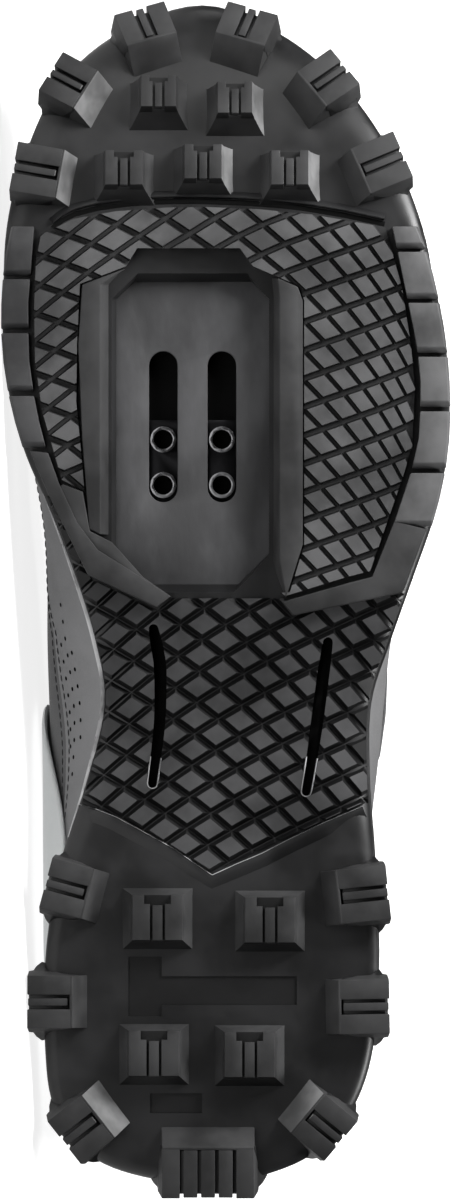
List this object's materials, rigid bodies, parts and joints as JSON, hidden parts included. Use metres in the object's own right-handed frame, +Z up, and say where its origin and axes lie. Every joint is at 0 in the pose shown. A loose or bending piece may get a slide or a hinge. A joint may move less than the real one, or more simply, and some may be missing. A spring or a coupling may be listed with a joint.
{
  "type": "cycling shoe",
  "caption": "Left off-road cycling shoe with a lugged rubber sole and a recess for a pedal cleat, lying on its inner side.",
  "frame": {"origin": "centre of the bounding box in the plan, on the floor that the shoe lies on", "axes": "+Z up, +X from toe to heel, -Y out of the sole, the shoe lying on its inner side"},
  "size_m": [0.2856, 0.1218, 0.1057],
  "materials": {
    "outsole": "matte black moulded rubber",
    "midsole": "black foam with a smooth skin",
    "cleat_plate": "dark grey nylon with a fine streaked grain",
    "nut_plate": "dark plated steel",
    "upper": "dark grey matte synthetic leather with pinholes",
    "toe_cap": "black moulded rubber",
    "heel_counter": "light grey film with a soft sheen",
    "tongue": "black padded mesh",
    "insole": "dark woven cover",
    "straps": "black synthetic webbing"
  },
  "bodies": {
    "root": {"outsole": "outsole", "midsole": "midsole", "cleat_plate": "cleat_plate", "nut_plate": "nut_plate", "upper": "upper", "toe_cap": "toe_cap", "heel_counter": "heel_counter", "tongue": "tongue", "insole": "insole", "strap_front": "straps", "strap_middle": "straps", "strap_top": "straps"}
  },
  "joints": []
}
